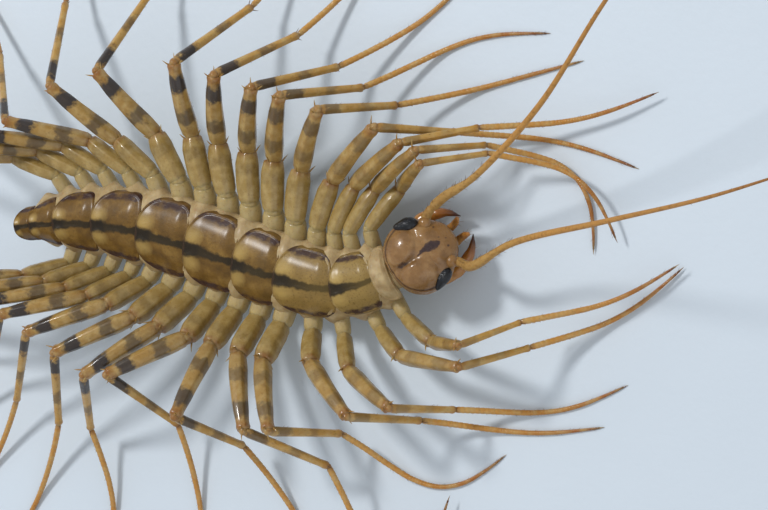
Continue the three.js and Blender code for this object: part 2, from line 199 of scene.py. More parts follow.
def addSpine(shape, root, tip, radius, mark, count=6, finish=0):
    shares = (-0.25, 0, 0.45, 0.85, 1)
    bend = up * np.linalg.norm(np.subtract(tip, root)) * 0.06
    centres = [root + (tip - root) * s + bend * math.sin(math.pi * max(s, 0)) for s in shares]
    addTube(shape, centres, [radius, radius, radius * 0.7, radius * 0.3, radius * 0.06], [mark] * 5,
            count, finish=finish)

hairRadius = {"mouth": 0.016, "feeler": 0.014, "leg": 0.012, "foot": 0.011}

def addHair(shape, root, tip, place):  # three-sided, in the piece's second finish
    addSpine(shape, root, tip, hairRadius[place], (0, 0, 0), 3, 1)

def addBall(shape, centre, radii, mark):
    rows, count, pole = 8, 14, 0.06
    tilt = np.linspace(pole, np.pi - pole, rows)[:, None]
    turn = 2 * np.pi * np.arange(count) / count
    local = np.stack((np.sin(tilt) * np.cos(turn), np.sin(tilt) * np.sin(turn),
                      np.cos(tilt) * np.ones(count)), -1) * radii
    addGrid(shape, np.asarray(centre) + local, [mark] * rows)

def makePiece(name, shape, finishes, slotName, *nodes):
    mesh = bpy.data.meshes.new(name)
    points = np.concatenate(shape["points"]) / 1000 + offset
    mesh.from_pydata(points.tolist(), [], shape["faces"])
    marks = mesh.attributes.new("place", "FLOAT_VECTOR", "POINT")
    marks.data.foreach_set("vector", np.concatenate(shape["marks"]).ravel())
    for finish in finishes:
        mesh.materials.append(finish)
    mesh.polygons.foreach_set("material_index", shape["finish"])
    shaped = bmesh.new()
    shaped.from_mesh(mesh)
    bmesh.ops.recalc_face_normals(shaped, faces=shaped.faces)
    shaped.to_mesh(mesh)
    shaped.free()
    mesh.shade_smooth()
    piece = bpy.data.objects.new(name, mesh)
    bpy.context.scene.collection.objects.link(piece)
    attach(piece, "root")
    if nodes:
        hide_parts(*nodes)


# Finishes
def colour(code):  # a screen colour such as "#A98849"
    parts = [int(code[k:k + 2], 16) / 255 for k in (1, 3, 5)]
    return [*(c / 12.92 if c <= 0.04045 else ((c + 0.055) / 1.055) ** 2.4 for c in parts), 1]

def newFinish(name, **values):
    material = bpy.data.materials.new(name)
    material.use_nodes = True
    shader = material.node_tree.nodes["Principled BSDF"]
    for socket, value in values.items():
        shader.inputs[socket.replace("_", " ")].default_value = value
    return {"material": material, "shader": shader, "tree": material.node_tree}

def addNode(finish, kind, inputs=(), **settings):
    node = finish["tree"].nodes.new("ShaderNode" + kind)
    for key, value in settings.items():
        setattr(node, key, value)
    for key, value in dict(inputs).items():
        if hasattr(value, "is_linked"):
            finish["tree"].links.new(value, node.inputs[key])
        else:
            node.inputs[key].default_value = value
    return node

def grain(finish, size, detail, stretch=(1, 1, 1)):  # cloudy noise, its spots about size mm across
    spot = addNode(finish, "TexCoord").outputs["Object"]
    spot = addNode(finish, "Mapping", {"Vector": spot, "Scale": stretch}).outputs[0]
    noise = addNode(finish, "TexNoise", {"Vector": spot, "Scale": 1000 / size, "Detail": detail})
    return noise.outputs["Fac"]

def cells(finish, size):  # rounded cells about this many mm across
    spot = addNode(finish, "TexCoord").outputs["Object"]
    return addNode(finish, "TexVoronoi", {"Vector": spot, "Scale": 1000 / size}).outputs["Distance"]

def placeOf(finish):  # the three marks of a piece
    mark = addNode(finish, "Attribute", attribute_name="place").outputs["Vector"]
    return addNode(finish, "SeparateXYZ", {0: mark}).outputs

def sums(finish, operation, a, b=0.0):
    return addNode(finish, "Math", {0: a, 1: b}, operation=operation).outputs[0]

def ramp(finish, factor, stops):  # stops: [place, colour code or grey number]
    node = addNode(finish, "ValToRGB", {0: factor})
    points = node.color_ramp.elements
    while len(points) < len(stops):
        points.new(0.5)
    for point, (place, value) in zip(points, stops):
        point.position = place
        point.color = colour(value) if isinstance(value, str) else (value, value, value, 1)
    return node.outputs[0]

def mixed(finish, factor, a, b):
    a, b = (colour(c) if isinstance(c, str) else c for c in (a, b))
    node = addNode(finish, "Mix", {0: factor, 6: a, 7: b}, data_type="RGBA")
    return node.outputs[2]

def paint(finish, tint, depth, relief, roughness=None):  # depth of the relief in millimetres
    links, shader = finish["tree"].links, finish["shader"]
    links.new(tint, shader.inputs["Base Color"])
    bump = addNode(finish, "Bump", {"Height": relief, "Distance": depth / 1000, "Strength": 1.0})
    links.new(bump.outputs[0], shader.inputs["Normal"])
    if roughness is not None:
        links.new(roughness, shader.inputs["Roughness"])
    return finish["material"]

def bandFrom(finish, value, *stops):  # a grey ramp
    return ramp(finish, value, stops)

def mottled(finish, tint, code, size, detail, *stops):  # cloudy patches of another colour
    return mixed(finish, bandFrom(finish, grain(finish, size, detail), *stops), tint, code)

def wander(finish, size, detail, reach):  # noise to either side of nothing
    return sums(finish, "MULTIPLY", sums(finish, "SUBTRACT", grain(finish, size, detail), 0.5), reach)

def pitted(finish, size, pitSize, pitShare):  # relief of soft bumps with small pits
    pits = sums(finish, "MULTIPLY", cells(finish, pitSize), pitShare)
    return sums(finish, "ADD", grain(finish, size, 3), pits)

def plateFinish():
    finish = newFinish("back_plate", Specular_IOR_Level=0.2, Coat_Weight=0.24, Coat_Roughness=0.19,
                       Subsurface_Weight=0.06, Subsurface_Radius=(0.0004, 0.00025, 0.00012),
                       Subsurface_Scale=1.0)
    across, lengthwise, frontToRear = placeOf(finish)[:3]
    size = sums(finish, "ABSOLUTE", sums(finish, "ADD", across, wander(finish, 0.45, 4, 0.2)))
    # Painted shade: the tan is dark, and the front plates are mixed paler, so the plates darken from
    # the front towards the rear
    tan = ramp(finish, grain(finish, 0.9, 4), [(0.3, "#5B4116"), (0.5, "#71521F"), (0.7, "#88682F")])
    tan = mixed(finish, bandFrom(finish, frontToRear, (0.0, 0.6), (0.3, 0.0)), tan, "#A68C50")
    tan = mottled(finish, tan, "#553C18", 0.12, 2, (0.55, 0.0), (0.72, 0.5))
    # Pale pair beside the middle stripe, at the plate's rear
    fromSpot = sums(finish, "MULTIPLY", sums(finish, "SUBTRACT", size, 0.34), 3.4)
    fromRear = sums(finish, "MULTIPLY", sums(finish, "SUBTRACT", lengthwise, 0.84), 4.2)
    reach = sums(finish, "ADD", sums(finish, "MULTIPLY", fromSpot, fromSpot),
                 sums(finish, "MULTIPLY", fromRear, fromRear))
    tan = mixed(finish, bandFrom(finish, reach, (0.0, 0.6), (0.25, 0.35), (0.9, 0.0)), tan, "#C3A45E")
    # Middle stripe, wider towards the rear, and a jagged stripe near each edge
    width = sums(finish, "ADD", sums(finish, "POWER", lengthwise, 2.5), 0.85)
    thin = sums(finish, "DIVIDE", size, width)
    dark = sums(finish, "MAXIMUM", bandFrom(finish, lengthwise, (0.2, 0.0), (0.75, 1.0)),
                bandFrom(finish, frontToRear, (0.1, 0.0), (0.3, 0.85)))
    dark = mixed(finish, dark, "#57461F", "#1C160C")
    tan = mixed(finish, bandFrom(finish, thin, (0.085, 0.94), (0.15, 0.0)), tan, dark)
    edge = bandFrom(finish, size, (0.74, 0.0), (0.81, 0.92), (0.91, 0.9), (0.96, 0.2))
    broken = bandFrom(finish, grain(finish, 0.5, 3), (0.34, 0.45), (0.48, 1.0))
    tan = mixed(finish, sums(finish, "MULTIPLY", edge, broken), tan, "#362020")
    rearLine = bandFrom(finish, lengthwise, (0.95, 0.0), (0.965, 0.55), (0.975, 0.55), (0.99, 0.0))
    tan = mixed(finish, rearLine, tan, "#4A3018")
    rough = bandFrom(finish, grain(finish, 0.3, 3), (0.3, 0.38), (0.7, 0.58))
    return paint(finish, tan, 0.02, pitted(finish, 0.35, 0.09, 0.5), rough)

def headFinish():
    finish = newFinish("head_shell", Specular_IOR_Level=0.2, Coat_Weight=0.55, Coat_Roughness=0.1,
                       Subsurface_Weight=0.15, Subsurface_Radius=(0.0005, 0.0003, 0.00015),
                       Subsurface_Scale=1.0)
    mark, rim, front = placeOf(finish)[:3]
    tan = ramp(finish, grain(finish, 0.8, 4), [(0.32, "#7C5A34"), (0.5, "#8F6A40"), (0.68, "#A27D50")])
    tan = mottled(finish, tan, "#694828", 0.1, 2, (0.56, 0.0), (0.75, 0.45))
    tan = mixed(finish, front, tan, "#8F6530")
    ragged = sums(finish, "ADD", mark, wander(finish, 0.22, 4, 1.0))
    dark = bandFrom(finish, ragged, (0.42, 0.0), (0.62, 0.7), (0.9, 0.95))
    tan = mixed(finish, dark, tan, "#37272A")
    tan = mixed(finish, rim, tan, "#3A2014")
    rough = bandFrom(finish, grain(finish, 0.25, 2), (0.3, 0.2), (0.7, 0.4))
    return paint(finish, tan, 0.018, pitted(finish, 0.3, 0.12, 0.4), rough)

def skinFinish():
    finish = newFinish("flank_skin", Specular_IOR_Level=0.25, Roughness=0.5, Coat_Weight=0.1,
                       Coat_Roughness=0.2, Subsurface_Weight=0.25,
                       Subsurface_Radius=(0.0006, 0.0004, 0.0002), Subsurface_Scale=1.0)
    tan = ramp(finish, grain(finish, 0.7, 4), [(0.3, "#9C825A"), (0.5, "#B0976C"), (0.7, "#C3AC82")])
    tan = mixed(finish, bandFrom(finish, cells(finish, 0.5), (0.1, 0.5), (0.3, 0.0)), tan, "#A57F55")
    relief = sums(finish, "ADD", grain(finish, 0.18, 4), grain(finish, 0.5, 2, (1.0, 0.35, 0.35)))
    return paint(finish, tan, 0.04, relief)

def legFinish():
    finish = newFinish("leg_shell", Specular_IOR_Level=0.25, Coat_Weight=0.45, Coat_Roughness=0.1,
                       Subsurface_Weight=0.3, Subsurface_Radius=(0.0005, 0.00035, 0.00018),
                       Subsurface_Scale=1.0)
    place, banding = placeOf(finish)[:2]
    articles = 6.0  # coxa, two of the thigh, shin, two lengths of the foot
    spot = sums(finish, "DIVIDE", place, articles)
    def at(article, share):
        return (article + share) / articles
    tint = ramp(finish, spot, [
        (at(0, 0), "#B8A47C"), (at(0, 0.8), "#AF9966"), (at(1, 0.15), "#9F844C"),
        (at(1, 0.85), "#94773A"), (at(1, 0.98), "#83582A"), (at(2, 0.12), "#A08046"),
        (at(2, 0.85), "#A47E3C"), (at(2, 0.98), "#8A5824"), (at(3, 0.1), "#B28A44"),
        (at(3, 0.92), "#B88A3A"), (at(3, 1.0), "#8E5A26"), (at(4, 0.08), "#BE8C40"),
        (at(5, 0.2), "#B57C30"), (at(5, 0.8), "#965A20"), (at(5, 1.0), "#5E3315")])
    tint = mottled(finish, tint, "#C4AC74", 0.5, 4, (0.4, 0.0), (0.68, 0.45))
    tint = mottled(finish, tint, "#7A5A2C", 0.16, 3, (0.57, 0.0), (0.75, 0.45))
    band = bandFrom(finish, sums(finish, "ADD", spot, wander(finish, 0.4, 3, 0.035)),
                    (at(1, 0.5), 0.0), (at(1, 0.58), 0.2), (at(1, 0.72), 0.2), (at(1, 0.8), 0.0),
                    (at(2, 0.2), 0.0), (at(2, 0.25), 0.7), (at(2, 0.36), 0.7), (at(2, 0.42), 0.0),
                    (at(2, 0.62), 0.0), (at(2, 0.67), 1.0), (at(2, 0.82), 1.0), (at(2, 0.88), 0.0),
                    (at(3, 0.05), 0.0), (at(3, 0.08), 1.0), (at(3, 0.24), 1.0), (at(3, 0.3), 0.0),
                    (at(3, 0.5), 0.0), (at(3, 0.55), 0.6), (at(3, 0.63), 0.6), (at(3, 0.7), 0.0))
    tint = mixed(finish, sums(finish, "MULTIPLY", band, banding), tint, "#2A2629")
    rough = bandFrom(finish, grain(finish, 0.3, 2), (0.3, 0.28), (0.7, 0.48))
    return paint(finish, tint, 0.012, pitted(finish, 0.14, 0.08, 0.4), rough)

def feelerFinish():
    finish = newFinish("feeler_shell", Specular_IOR_Level=0.25, Roughness=0.42, Subsurface_Weight=0.15,
                       Subsurface_Radius=(0.0003, 0.0002, 0.0001), Subsurface_Scale=1.0)
    share = placeOf(finish)[0]
    tint = ramp(finish, share, [(0.0, "#A07B45"), (0.12, "#B58E50"), (0.3, "#BC8A48"),
                                (0.75, "#B07F45"), (1.0, "#8A5B30")])
    tint = mottled(finish, tint, "#805426", 0.25, 3, (0.5, 0.0), (0.7, 0.6))
    return paint(finish, tint, 0.012, grain(finish, 0.08, 3))

def eyeFinish():
    finish = newFinish("eye_facets", Specular_IOR_Level=0.4, Roughness=0.22, Coat_Weight=0.2,
                       Coat_Roughness=0.06)
    tint = ramp(finish, grain(finish, 0.25, 3), [(0.35, "#05070B"), (0.55, "#0D1118"),
                                                 (0.75, "#1C232E")])
    return paint(finish, tint, 0.035, sums(finish, "MULTIPLY", cells(finish, 0.085), -1.0))

def clawFinish():
    finish = newFinish("claw_shell", Roughness=0.26, Coat_Weight=0.4, Coat_Roughness=0.12,
                       Subsurface_Weight=0.15, Subsurface_Radius=(0.0005, 0.0002, 0.0001),
                       Subsurface_Scale=1.0)
    share = placeOf(finish)[0]
    tint = ramp(finish, share, [(0.0, "#A8814C"), (0.45, "#B07A35"), (0.75, "#9A5E24"),
                                (0.92, "#4A2410"), (1.0, "#25100A")])
    tint = mottled(finish, tint, "#86531F", 0.3, 3, (0.5, 0.0), (0.7, 0.5))
    return paint(finish, tint, 0.012, grain(finish, 0.12, 3))

def hairFinish():
    finish = newFinish("spines_and_hairs", Roughness=0.35)
    tint = ramp(finish, grain(finish, 0.3, 2), [(0.4, "#5A3B1C"), (0.6, "#8A5E2C")])
    return paint(finish, tint, 0.005, grain(finish, 0.05, 2))

finishes = {"plate": plateFinish(), "head": headFinish(), "skin": skinFinish(), "leg": legFinish(),
            "feeler": feelerFinish(), "eye": eyeFinish(), "claw": clawFinish(), "hair": hairFinish()}
print("finishes ready")


# Trunk: one soft skin from the neck to the tail, with the plates over and under it
# The flank bulges out under the plates and sags over the leg roots.
skin = {"start": -1.5, "end": 26.45, "rows": 300, "count": 52, "fold": 0.05, "bulge": 0.62,
        "sag": 0.3, "tailReach": 1.5, "neckSize": 0.86}

def taper(behind):  # the tail closes, and the neck narrows into the head
    if behind > body["length"]:
        past = (behind - body["length"]) / skin["tailReach"]
        return max(0.05, math.sqrt(max(0.0, 1 - past ** 2)))
    return skin["neckSize"] + (1 - skin["neckSize"]) * ease(behind, skin["start"], -0.1)

def skinRing(behind):
    half = along(body["halfWidth"], behind) - body["inset"]
    turn = 2 * np.pi * (behind - body["firstLeg"]) / body["legPitch"]  # one fold to each pair of legs
    ring = []
    for angle in 2 * np.pi * np.arange(skin["count"]) / skin["count"]:
        cos, sin = math.cos(angle), math.sin(angle)
        flank = 1 - abs(sin)
        swell = flank ** 1.5 * ease(behind, -0.6, 0.6) * ease(26.2 - behind, 0, 1.6)
        fold = 1 + skin["fold"] * math.cos(turn) * (0.4 + flank)
        across = half * fold * math.copysign(abs(cos) ** body["squareness"], cos)
        across += math.copysign(skin["bulge"] * swell * (0.85 + 0.15 * math.cos(turn)), cos)
        tall = (body["top"] if sin > 0 else body["bottom"]) * (1 + 0.02 * math.cos(turn))
        above = tall * math.copysign(abs(sin) ** body["squareness"], sin) - skin["sag"] * swell
        size = taper(behind)
        ring.append(bodyPoint(behind, across * size, above * size))
    return ring

def makeSkin():
    shape = newShape()
    places = np.linspace(skin["end"], skin["start"], skin["rows"])
    addGrid(shape, [skinRing(place) for place in places], [(0, place, 0) for place in places])
    makePiece("trunk_skin", shape, [finishes["skin"]], "skin", "neck", "tail")

# Back plates: rounded shields, each with its rear edge over the front of the next
plate = {"rise": 1.34, "fall": 0.95, "thickness": 0.2, "rings": 26, "rimRings": 8, "count": 96,
         "over": 0.17, "frontCorner": 0.5, "rearCorner": 0.74, "frontTuck": 0.2, "rearLift": 0.05,
         "rim": 0.05, "edgeFall": 0.1, "groove": 0.035, "swelling": 0.05, "slit": 0.1,
         "frontGap": 0.04, "tailEnd": 26.3, "collar": (-0.95, 0.1), "slits": 7}

def bent(value, power):
    return math.copysign(abs(value) ** power, value)

def plateSpot(start, end, ring, angle, drop, saddle):
    cos, sin = math.cos(angle), math.sin(angle)
    corner = plate["frontCorner"] if cos > 0 else plate["rearCorner"]
    corner += (0.5 - corner) * (1 - ring)  # the inner rings are more even than the outline
    forward, across = bent(cos, corner) * ring, bent(sin, corner) * ring
    lengthwise = (1 - forward) / 2
    behind = (start + end) / 2 - forward * (end - start) / 2
    half = along(body["halfWidth"], min(max(behind, 0.3), 25.4))
    above = plate["rise"] - plate["fall"] * abs(across) ** 2.2
    above -= plate["frontTuck"] * ease(forward, 0.45, 1.0)  # the front slips under the plate ahead
    above += plate["rearLift"] * ease(-forward, 0.5, 0.9)
    above += plate["rim"] * math.exp(-((ring - 0.955) / 0.025) ** 2)
    above -= plate["edgeFall"] * ease(ring, 0.975, 1.0)
    above -= plate["groove"] * math.exp(-(across / 0.05) ** 2) * ease(ring, 1.0, 0.9)
    if saddle:  # a swelling either side of the breathing slit at the rear
        rear = math.exp(-((lengthwise - 0.86) / 0.09) ** 2)
        above += plate["swelling"] * rear * math.exp(-((abs(across) - 0.2) / 0.14) ** 2)
        above -= plate["slit"] * rear * math.exp(-(across / 0.055) ** 2)
    # the third mark is the plate's place from front to rear; the plate finish reads it for its painted
    # shade and for the middle stripe's darkness
    return bodyPoint(behind, across * half, above - drop), (across, lengthwise, start / body["length"])

plainMark = (0.5, 0.3, 0)  # away from every stripe of the plate finish

def makePlate(name, start, end, saddle, *nodes, plain=False):
    shape = newShape()
    rings, marks = [], []
    spread = [*np.linspace(0.04, 0.9, plate["rings"] - plate["rimRings"]),
              *np.linspace(0.915, 1, plate["rimRings"])]
    layers = [(ring, plate["thickness"]) for ring in spread[::2] if ring < 0.99]
    layers += [(0.997, plate["thickness"] * 0.75), (1.0, plate["thickness"] * 0.35)]
    layers += [(ring, 0) for ring in spread[::-1]]
    for ring, drop in layers:
        spots = [plateSpot(start, end, ring, 2 * math.pi * k / plate["count"], drop, saddle)
                 for k in range(plate["count"])]
        rings.append([spot for spot, _ in spots])
        marks.append([plainMark if plain else mark for _, mark in spots])
    addGrid(shape, rings, marks)
    makePiece(name, shape, [finishes["skin" if plain else "plate"]], "body", *nodes)

# Belly plates, one to each pair of legs
belly = {"halfLength": 0.66, "width": 0.52, "depth": 0.09, "edge": 0.04, "back": 0.1,
         "rings": 7, "count": 36}

def makeBelly():
    shape = newShape()
    for pair in range(1, legPairs + 1):
        middle = legPlace(pair) + belly["back"]
        flank = along(body["halfWidth"], middle) - body["inset"]
        half = flank * belly["width"]
        rings = []
        for ring in np.linspace(0.1, 1, belly["rings"]):
            row = []
            for k in range(belly["count"]):
                angle = 2 * math.pi * k / belly["count"]
                lengthwise = bent(math.cos(angle), 0.5) * ring
                across = bent(math.sin(angle), 0.5) * ring * half
                power = 2 / body["squareness"]
                below = -body["bottom"] * (1 - min(abs(across / flank), 1) ** power) ** (1 / power)
                below -= belly["depth"] * (1 - ring ** 4) - belly["edge"] * ring ** 4
                row.append(bodyPoint(middle + lengthwise * belly["halfLength"], across, below))
            rings.append(row)
        # the third mark is the place from front to rear, read by the plate finish's painted shade
        addGrid(shape, rings, [(*plainMark[:2], (pair - 1) / legPairs)] * belly["rings"])
    makePiece("belly_plates", shape, [finishes["plate"]], "body")

makeSkin()
ends = body["plateEnds"]
for number, (start, end) in enumerate(zip(ends, ends[1:]), 1):
    makePlate(f"plate_{number}", start + plate["frontGap"], end + plate["over"],
              number <= plate["slits"], f"trunk_{number}")
makePlate("plate_tail", body["length"], plate["tailEnd"], False)
makePlate("plate_collar", *plate["collar"], False, plain=True)
makeBelly()
print("trunk made")


# Head: a rounded shell with two lobes on the crown
head.update({
    "stations": [  # ahead, half width, top, bottom
        (-2.16, 0.3, 0.15, 0.2), (-2.05, 0.95, 0.5, 0.55), (-1.7, 1.6, 0.95, 0.9),
        (-1.0, 2.1, 1.2, 1.15), (-0.2, 2.22, 1.26, 1.25), (0.5, 2.08, 1.12, 1.28),
        (1.05, 1.72, 0.92, 1.2), (1.5, 1.38, 0.7, 1.05), (1.85, 1.02, 0.42, 0.85),
        (2.1, 0.6, 0.13, 0.55), (2.16, 0.25, 0.02, 0.3)],
    "rows": 110, "count": 160,
    "lobe": {"ahead": -0.66, "left": 0.98, "long": 1.15, "wide": 0.9, "rise": 0.28, "turn": 18},
    "shield": {"ahead": -0.1, "left": 0, "long": 1.93, "wide": 2.24},  # its edge is the rear rim
    "middleDip": 0.12, "brow": 0.17, "seam": 0.06, "rim": 0.06,
    "markWidth": [[-0.4, 0.04], [0.1, 0.05], [0.45, 0.12], [0.8, 0.24], [1.1, 0.27], [1.35, 0.16],
                  [1.5, 0.02]],
    "socket": {"ahead": 1.3, "left": 1.34, "above": 0.42, "radii": (0.4, 0.4, 0.34)},
    "smudge": {"ahead": -1.0, "left": 0.05, "long": 0.55, "wide": 0.24},
    "specks": [(1.55, 0.2), (1.7, -0.5), (1.6, 0.85), (1.35, -1.15), (1.45, 1.2), (1.8, -0.05)],
})
headLine = smoothLine(head["stations"], 24)

def ovalReach(oval, ahead, left):  # 1 on the oval's edge
    return math.hypot((ahead - oval["ahead"]) / oval["long"], (left - oval["left"]) / oval["wide"])

def headMarks(ahead, left, above):
    width = along(head["markWidth"], ahead)
    middle = 0.05 * math.sin(3 * ahead)
    start, end = head["markWidth"][0][0], head["markWidth"][-1][0]
    mark = 1 - ease(abs(left - middle), width * 0.55, width * 1.5 + 0.03) if start < ahead < end else 0
    mark *= ease(ahead, start, 0.3)
    mark = max(mark, 0.62 * math.exp(-ovalReach(head["smudge"], ahead, left) ** 3))
    for speckAhead, speckLeft in head["specks"]:
        away = (ahead - speckAhead) ** 2 + (left - speckLeft) ** 2
        mark = max(mark, 0.7 * math.exp(-away / 0.008))
    if above < 0.05:
        mark = 0
    reach = ovalReach(head["shield"], ahead, left)
    rim = math.exp(-((reach - 0.905) / 0.024) ** 2) * ease(0.6 - ahead, 0, 0.3) if above > -0.25 else 0
    return mark, rim, 0.7 * ease(ahead, 1.3, 2.1)

def makeHead():
    shape = newShape()
    lobe = head["lobe"]
    cos, sin = turned(lobe["turn"])
    rings, marks = [], []
    for ahead, half, top, bottom in lineAt(headLine, np.linspace(0, headLine[0][-1], head["rows"])):
        row, rowMarks = [], []
        for k in range(head["count"]):
            angle = 2 * math.pi * k / head["count"]
            left = half * bent(math.cos(angle), 0.9)
            above = (top if math.sin(angle) > 0 else bottom) * bent(math.sin(angle), 0.9)
            if math.sin(angle) > 0:
                a, b = ahead - lobe["ahead"], abs(left) - lobe["left"]
                a, b = a * cos + b * sin, b * cos - a * sin
                swell = max(0, 1 - (a / lobe["long"]) ** 2 - (b / lobe["wide"]) ** 2)
                above += lobe["rise"] * swell ** 0.5 * math.sin(angle) ** 0.5
                above -= head["middleDip"] * math.exp(-(left / 0.15) ** 2) * ease(0.7 - ahead, 0, 0.8)
                brow = math.exp(-((ahead - 1.0) / 0.32) ** 2 - ((abs(left) - 0.75) / 0.35) ** 2)
                seam = math.exp(-((ahead - 0.62) / 0.1) ** 2) * ease(1.6 - abs(left), 0, 0.4)
                reach = ovalReach(head["shield"], ahead, left)
                rim = math.exp(-((reach - 0.95) / 0.03) ** 2) * ease(0.4 - ahead, 0, 0.3)
                above += head["brow"] * brow - head["seam"] * seam + head["rim"] * rim
            row.append(headPoint(ahead, left, above))
            rowMarks.append(headMarks(ahead, left, above))
        rings.append(row)
        marks.append(rowMarks)
    addGrid(shape, rings, marks)
    socket = head["socket"]  # where a feeler grows
    for side in sides.values():
        place = headPoint(socket["ahead"], side * socket["left"], socket["above"])
        addBall(shape, place, socket["radii"], (0, 0, 0.5))
    makePiece("head_shell", shape, [finishes["head"]], "body", "head")

def makeEyes():
    for word, side in sides.items():
        shape = newShape()
        cos, sin = turned(-side * eye["turn"])
        girth = eye["leftGirth"] if side > 0 else eye["rightGirth"]
        rings = []
        for tilt in np.linspace(0.03, math.pi - 0.03, eye["rows"]):
            row = []
            for turn in 2 * math.pi * np.arange(eye["count"]) / eye["count"]:
                x = math.cos(tilt) * eye["radii"][0] * eye["length"]
                y = math.sin(tilt) * math.cos(turn) * eye["radii"][1] * girth
                z = math.sin(tilt) * math.sin(turn) * eye["radii"][2] * girth
                plump = 0.62 + 0.42 * ease(x, -0.9, 0.3)  # a drop, blunt at the front
                y, z = y * plump + side * 0.1 * ease(-x, 0.1, 0.8), z * plump
                row.append(headPoint(eye["ahead"] + x * cos - y * sin,
                                     side * eye["left"] + x * sin + y * cos,
                                     eye["above"] + eye["lift"] + z))
            rings.append(row)
        addGrid(shape, rings, [(0, 0, 0)] * len(rings))
        makePiece(f"eyeball_{word}", shape, [finishes["eye"]], "eye", f"eye_{word}")

# Poison claws and palps, under the head
mouth = {
    "claw": {"way": [(-1.3, 1.0, -1.5), (-0.9, 1.35, -1.7), (0.2, 1.75, -1.8), (1.2, 1.7, -1.73),
                     (2.1, 1.3, -1.7), (2.7, 0.64, -1.75)],
             "radii": [[0, 0.3], [0.12, 0.46], [0.3, 0.47], [0.42, 0.42], [0.46, 0.45],
                       [0.6, 0.38], [0.66, 0.33], [0.7, 0.34], [0.85, 0.2], [1, 0.03]],
             "tint": 1.0, "hairs": 10},
    "palp": {"way": [(0.3, 0.6, -1.65), (0.5, 0.55, -1.8), (1.2, 0.5, -1.85), (1.95, 0.42, -1.55),
                     (2.5, 0.48, -1.0), (2.82, 0.59, -0.55)],
             "radii": [[0, 0.2], [0.2, 0.24], [0.38, 0.25], [0.42, 0.21], [0.46, 0.25],
                       [0.66, 0.22], [0.7, 0.18], [0.74, 0.22], [0.95, 0.13], [1, 0.03]],
             "tint": 0.6, "hairs": 26},
}

def makeMouth():
    for word, side in sides.items():
        for name, form in mouth.items():
            line = smoothLine([headPoint(x, side * y, z) for x, y, z in form["way"]])
            shares = np.linspace(0, 1, 60)
            centres = lineAt(line, shares * line[0][-1])
            shape = newShape()
            addTube(shape, centres, [along(form["radii"], s) for s in shares],
                    [(s * form["tint"], 0, 0) for s in shares], 20)
            ahead = headPoint(1.5, 0, 0) - headPoint(0, 0, 0)
            for _ in range(form["hairs"]):
                share = random.uniform(0.2, 0.9)
                root = lineAt(line, share * line[0][-1])
                aim = unit(np.array([random.gauss(0, 1) for _ in range(3)]) + ahead)
                reach = along(form["radii"], share)
                tip = root + aim * (reach + random.uniform(0.15, 0.35))
                addHair(shape, root + aim * reach * 0.8, tip, "mouth")
            makePiece(f"{name}_shell_{word}", shape, [finishes["claw"], finishes["hair"]], "claw",
                      f"{name}_{word}")

# Feelers: two stout hairy joints, then a whip of fine rings
feeler = {
    "inner": (1.2, 1.2, 0.3), "root": (1.62, 1.62, 0.35),  # on the head: ahead, to the side, above
    "way": {"left": [(5.3, 4.2, 4.2), (7.7, 5.3, 5.0), (13.4, 9.1, 8.0), (19.0, 14.2, 11.5),
                     (26, 20.8, 14.5)],
            "right": [(7.0, 0.35, 3.9), (10.3, 1.6, 5.4), (18.5, 2.8, 10), (26, 3.9, 14),
                      (32, 5.2, 16.5)]},
    "girth": [[0, 0.2], [0.012, 0.29], [0.035, 0.27], [0.042, 0.2], [0.05, 0.3], [0.11, 0.27],
              [0.135, 0.22], [0.15, 0.2], [0.3, 0.185], [0.7, 0.12], [1, 0.055]],
    "ring": 0.17, "whip": 0.13, "hairs": 120,
}

def makeFeelers():
    for word, side in sides.items():
        growth = [headPoint(x, side * y, z) for x, y, z in (feeler["inner"], feeler["root"])]
        line = smoothLine([*growth, *feeler["way"][word]])
        reach = line[0][-1]
        shape = newShape()
        places, radii = [], []
        for number in range(int(reach / feeler["ring"])):
            for share, swell in ((0.0, 0.93), (0.2, 1.0), (0.85, 1.03)):
                place = (number + share) * feeler["ring"]
                places.append(place)
                ringed = place / reach > feeler["whip"]
                radii.append(along(feeler["girth"], place / reach) * (swell if ringed else 1))
        addTube(shape, lineAt(line, np.array(places)), radii, [(p / reach, 0, 0) for p in places], 10)
        for _ in range(feeler["hairs"]):
            share = random.uniform(0.02, 0.2) if random.random() < 0.75 else random.uniform(0.2, 0.9)
            spot = lineAt(line, share * reach)
            ahead = unit(lineAt(line, share * reach + 0.2) - spot)
            aim = unit(np.cross(ahead, [random.gauss(0, 1) for _ in range(3)]))
            size = along(feeler["girth"], share)
            long = random.uniform(0.18, 0.34) if share < 0.2 else random.uniform(0.08, 0.16)
            tip = spot + aim * (size + long * 0.6) + ahead * long
            addHair(shape, spot + aim * size * 0.8, tip, "feeler")
        makePiece(f"feeler_{word}", shape, [finishes["feeler"], finishes["hair"]], "feeler",
                  f"antenna_{word}")

makeHead()
makeEyes()
makeMouth()
makeFeelers()
print("head made")


